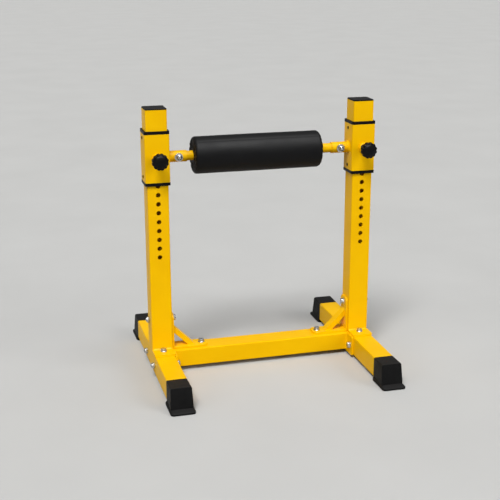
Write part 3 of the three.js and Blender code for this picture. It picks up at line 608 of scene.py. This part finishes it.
def make_washer(node, body):
    """A round washer over its CAD node, which lies across Y."""
    size = node_size(node)
    radius = size[Z] / 2
    thickness = size[Y]
    rings = [
        circle(NUT_BORE, WASHER_EDGE),
        circle(NUT_BORE + WASHER_EDGE, 0),
        circle(radius - WASHER_EDGE, 0),
        circle(radius, WASHER_EDGE),
        circle(radius, thickness - WASHER_EDGE),
        circle(radius - WASHER_EDGE, thickness),
        circle(NUT_BORE + WASHER_EDGE, thickness),
        circle(NUT_BORE, thickness - WASHER_EDGE),
    ]
    foot = face_middle(node, Y, 1)
    direction = pointing(Y, -1)
    return put(node + "_piece", rings, foot, direction, "zinc_plate", body, node, closed=True)


def make_fasteners():
    for side, sign in SIDES.items():
        for end in ENDS:
            make_bolt(f"{end}_{side}_base_bolt", "base", Z, 1)
            make_bolt(f"{end}_{side}_crossbar_bolt", "base", X, -sign)
            make_nut(f"{end}_{side}_crossbar_nut", "base", X, sign)
        make_bolt(f"{side}_bracket_upright_bolt", "base", X, -sign)
        make_nut(f"{side}_bracket_upright_nut", "base", X, sign)
        make_bolt(f"{side}_bracket_crossbar_bolt", "base", Z, 1)
        make_nut(f"{side}_bracket_crossbar_nut", "base", Z, -1)
        make_bolt(f"{side}_socket_bolt", "carriage", Y, 1, flanged=False)
        make_washer(f"{side}_socket_washer", "carriage")
        make_nut(f"{side}_socket_nut", "carriage", Y, -1)


# Knobs
def knob_ring(radius, height, dip_share=0):
    ring = []
    for angle in angles(KNOB_STEPS):
        wave = ((1 + math.cos(KNOB_LOBES * angle)) / 2) ** KNOB_DIP_POWER
        ring.append(polar(radius - dip_share * KNOB_DIP * wave, angle, height))
    return ring


def make_knob(side):
    node = f"{side}_knob"
    size = node_size(node)
    rim = KNOB_SWELL * size[Z] / 2
    dome = KNOB_DOME_SHARE * size[Y]
    face = size[Y] - dome
    rings = [
        knob_ring(KNOB_SOCKET, KNOB_SOCKET_DEPTH),
        knob_ring(KNOB_SOCKET, KNOB_RECESS_DEPTH),
        knob_ring(KNOB_RECESS, KNOB_RECESS_DEPTH),
        knob_ring(KNOB_RECESS, KNOB_RECESS_LIP),
        knob_ring(KNOB_RECESS + KNOB_RECESS_LIP, 0),
    ]
    for share, rise, dip in KNOB_BACK_SHARES:
        rings.append(knob_ring(share * rim, rise * KNOB_ROUNDING, dip))
    for share, rise, dip in KNOB_FRONT_SHARES + KNOB_GROOVE_SHARES:
        rings.append(knob_ring(share * rim, face + rise * KNOB_ROUNDING, dip))
    for share, rise in DOME_SHARES:
        rings.append(knob_ring(share * rim, face + rise * dome))
    back = face_middle(node, Y, 1)
    direction = pointing(Y, -1)
    return put(node + "_piece", rings, back, direction, "black_plastic", f"{side}_pin", node)


# Button heads
def make_button(name, place, sign):
    rings = [circle(*point) for point in BUTTON_STEM + BUTTON_EDGE + BUTTON_CROWN]
    return put(name, rings, place, pointing(X, sign), "black_plastic", "carriage")


def make_buttons(side):
    foot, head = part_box(f"{side}_sleeve")
    for level, height in (("upper", head.z - BUTTON_INSET), ("lower", foot.z + BUTTON_INSET)):
        low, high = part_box(f"{side}_{level}_bush")
        middle = (low.y + high.y) / 2
        left = Vector((low.x + BUSH_PROUD, middle, height))
        right = Vector((high.x - BUSH_PROUD, middle, height))
        make_button(f"{side}_{level}_left_button", left, -1)
        make_button(f"{side}_{level}_right_button", right, 1)


# Pin springs, fixed in place. On the stand the collar's end goes with the pin, and the other stays
# with the sleeve
def wire_ring(centre, tangent, outward, radius):
    across = tangent.cross(outward).normalized()
    ring = []
    for angle in angles(WIRE_STEPS):
        ring.append(centre + radius * (outward * math.cos(angle) + across * math.sin(angle)))
    return ring


def make_spring(side):
    node = f"{side}_pin_spring"
    low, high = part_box(node)
    middle = (low + high) / 2
    reach = (high.x - low.x) / 2 - WIRE_RADIUS
    start = high.y - WIRE_RADIUS
    length = high.y - low.y - 2 * WIRE_RADIUS
    count = SPRING_TURNS * SPRING_TURN_STEPS

    def place(step):
        """The wire's middle after some steps, and the direction out from the spring's axis."""
        share = step / count
        angle = FULL_TURN * SPRING_TURNS * share
        along = share - SPRING_CLOSING * math.sin(FULL_TURN * share) / FULL_TURN
        outward = Vector((math.cos(angle), 0, math.sin(angle)))
        return Vector((middle.x, start - along * length, middle.z)) + reach * outward, outward

    rings = []
    for step in range(count + 1):
        centre, outward = place(step)
        tangent = place(step + 1)[0] - place(step - 1)[0]
        radius = WIRE_TIP_SHARE * WIRE_RADIUS if step in (0, count) else WIRE_RADIUS
        rings.append(wire_ring(centre, tangent, outward, radius))
    spring = skin(node + "_piece", rings)
    dress(spring, "pin_steel")
    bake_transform(spring)
    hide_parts(node)
    return spring


# Padded roller, made round +X
def noise_round(angle, radius, level):
    """Smooth noise read on a circle, so that it is the same after a full turn."""
    return noise.noise(polar(radius, angle, level))


def fold_wave(angle, seed):
    """Puffed gathers round an eye of the cover, from 0 on a crest to about -1 in a crease."""
    drift = FOLD_DRIFT * noise_round(angle, FOLD_DRIFT_ROUND, seed)
    crest = abs(math.sin(FOLD_COUNT / 2 * angle + drift)) ** FOLD_POWER
    spread = FOLD_SIZE_SPREAD * noise_round(angle, FOLD_SIZE_ROUND, seed + FOLD_SIZE_SEED)
    return (FOLD_SIZE + spread) * (crest - 1)


def fold_share(reach, radius):
    """How deep the creases run at a distance from the axis: shallow over the end bush, deep
    past it, and none at the rim."""
    rim = radius - FOLD_END_SHARE * ROLLER_SHOULDER
    across = (reach - ROLLER_EYE) / (rim - ROLLER_EYE)
    past = min(1.0, max(0.0, (reach - ROLLER_BORE) / FOLD_OPENING))
    opening = FOLD_START + (1 - FOLD_START) * past * past * (3 - 2 * past)
    return opening * math.sqrt(max(0.0, 1 - across))


def roller_profile(half, radius):
    """(distance from the middle, radius, crease share) from the bore round the end to the side."""
    back = half - END_THICKNESS
    rows = [(back, ROLLER_BORE, 0.0), (back, ROLLER_EYE + EYE_LIP, 0.0)]
    rows += [(back + EYE_LIP, ROLLER_EYE, 0.0), (half - EYE_LIP_START, ROLLER_EYE, FOLD_START)]
    flat = radius - ROLLER_SHOULDER
    for step in range(END_SPANS + 1):
        share = step / END_SPANS
        reach = ROLLER_EYE + EYE_LIP + (flat - ROLLER_EYE - EYE_LIP) * share
        rows.append((half - END_DISH * (1 - share), reach, fold_share(reach, radius)))
    for step in range(1, SHOULDER_SPANS + 1):
        bend = math.pi / 2 * step / SHOULDER_SPANS
        out = half - ROLLER_SHOULDER * (1 - math.cos(bend))
        reach = flat + ROLLER_SHOULDER * math.sin(bend)
        rows.append((out, reach, fold_share(reach, radius)))
    return rows


def seam_dip(angle):
    away = abs((angle - SEAM_ANGLE + math.pi) % FULL_TURN - math.pi)
    return math.exp(-((away * SEAM_ARM / SEAM_WIDTH) ** 2))


def roller_point(centre, row, angle, half, radius):
    """One point of the cover: its creases, rim ripples, unevenness and seam."""
    along, reach, crease = row
    side = 1 if along > 0 else -1
    wave = fold_wave(angle, FOLD_SEED * side)
    outside = max(0.0, 1 - (radius - reach) / ROLLER_SHOULDER)
    swell = PAD_UNEVEN * noise_round(angle, PAD_UNEVEN_ROUND, along * PAD_UNEVEN_ALONG)
    ripple = RIM_RIPPLE * wave * math.exp(-(half - abs(along)) / RIM_RIPPLE_REACH)
    reach += outside * (swell - SEAM_DEPTH * seam_dip(angle) + ripple)
    out = along + side * FOLD_DEPTH * crease * wave
    return centre + Vector((out, reach * math.cos(angle), reach * math.sin(angle)))


def make_roller():
    low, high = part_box("roller_cover")
    centre = (low + high) / 2
    half = (high.x - low.x) / 2 - END_ROOM
    radius = (high.z - low.z) / 2
    edge = roller_profile(half, radius)
    straight = half - ROLLER_SHOULDER
    rows = list(edge)
    for step in range(1, ROLLER_SPANS):
        rows.append((straight - 2 * straight * step / ROLLER_SPANS, radius, 0.0))
    rows += [(-along, reach, crease) for along, reach, crease in reversed(edge)]
    turns = angles(ROLLER_STEPS)
    rings = [[roller_point(centre, row, turn, half, radius) for turn in turns] for row in rows]
    cover = skin("roller_cover_piece", rings, closed=True)
    finish_piece(cover, "roller_vinyl", "roller", "roller_cover", "roller_foam")
    return cover


# Studio
def make_floor():
    """A pale floor that throws less light back on the stand than its colour would."""
    material, tree, shader = start_material("studio_floor")
    pale = add_ramp(tree, add_noise(tree, scale=3.0, detail=3.0), FLOOR_CLOUD, FLOOR_COLOUR)
    path = tree.nodes.new("ShaderNodeLightPath")
    seen = path.outputs["Is Camera Ray"]
    for kind in ("Is Glossy Ray", "Is Transmission Ray"):
        either = tree.nodes.new("ShaderNodeMath")
        either.operation = "MAXIMUM"
        tree.links.new(seen, either.inputs[0])
        tree.links.new(path.outputs[kind], either.inputs[1])
        seen = either.outputs["Value"]
    colour = add_mix(tree, seen, srgb(*FLOOR_BOUNCE), pale)
    tree.links.new(colour, shader.inputs["Base Color"])
    shader.inputs["Roughness"].default_value = FLOOR_ROUGHNESS
    mesh = bpy.data.meshes.new("floor")
    half = FLOOR_SIZE / 2
    corners = [(-half, -half, 0), (half, -half, 0), (half, half, 0), (-half, half, 0)]
    mesh.from_pydata(corners, [], [(0, 1, 2, 3)])
    mesh.materials.append(material)
    floor = bpy.data.objects.new("floor", mesh)
    bpy.context.scene.collection.objects.link(floor)


def make_world():
    world = bpy.data.worlds.new("studio")
    world.use_nodes = True
    sky = world.node_tree.nodes["Background"]
    sky.inputs["Color"].default_value = srgb(*SKY_COLOUR)
    sky.inputs["Strength"].default_value = SKY_STRENGTH
    bpy.context.scene.world = world


def place_lamp(data, place, direction):
    lamp = bpy.data.objects.new(data.name, data)
    bpy.context.scene.collection.objects.link(lamp)
    lamp.location = place
    lamp.rotation_euler = direction.to_track_quat("-Z", "Y").to_euler()
    return lamp


def make_suns():
    for name, (direction, strength, angle, glossy) in SUNS.items():
        data = bpy.data.lights.new(name, "SUN")
        data.energy = strength
        data.angle = angle
        lamp = place_lamp(data, LIGHT_TARGET - direction, direction)
        lamp.visible_glossy = glossy


def make_glint():
    data = bpy.data.lights.new("glint", "AREA")
    data.shape = "SQUARE"
    data.size = GLINT_SIZE
    data.energy = GLINT_POWER
    lamp = place_lamp(data, GLINT_PLACE, LIGHT_TARGET - GLINT_PLACE)
    lamp.visible_diffuse = False


def make_camera():
    level = math.cos(CAMERA_PITCH)
    ahead = math.cos(CAMERA_YAW) * level
    forward = Vector((math.sin(CAMERA_YAW) * level, ahead, math.sin(CAMERA_PITCH)))
    right = forward.cross(UP).normalized()
    up = right.cross(forward)
    across = right * math.cos(CAMERA_ROLL) + up * math.sin(CAMERA_ROLL)
    top = up * math.cos(CAMERA_ROLL) - right * math.sin(CAMERA_ROLL)
    data = bpy.data.cameras.new("camera")
    data.sensor_width = CAMERA_SENSOR
    data.lens = CAMERA_LENS
    camera = bpy.data.objects.new("camera", data)
    bpy.context.scene.collection.objects.link(camera)
    turn = Matrix((across, top, -forward)).transposed().to_4x4()
    camera.matrix_world = Matrix.Translation(CAMERA_PLACE) @ turn
    bpy.context.scene.camera = camera


make_camera()
make_fasteners()
for side in SIDES:
    make_knob(side)
    make_buttons(side)
    make_spring(side)
make_roller()
dress_nodes()
make_floor()
make_world()
make_suns()
make_glint()
bpy.context.scene.view_settings.view_transform = "Standard"
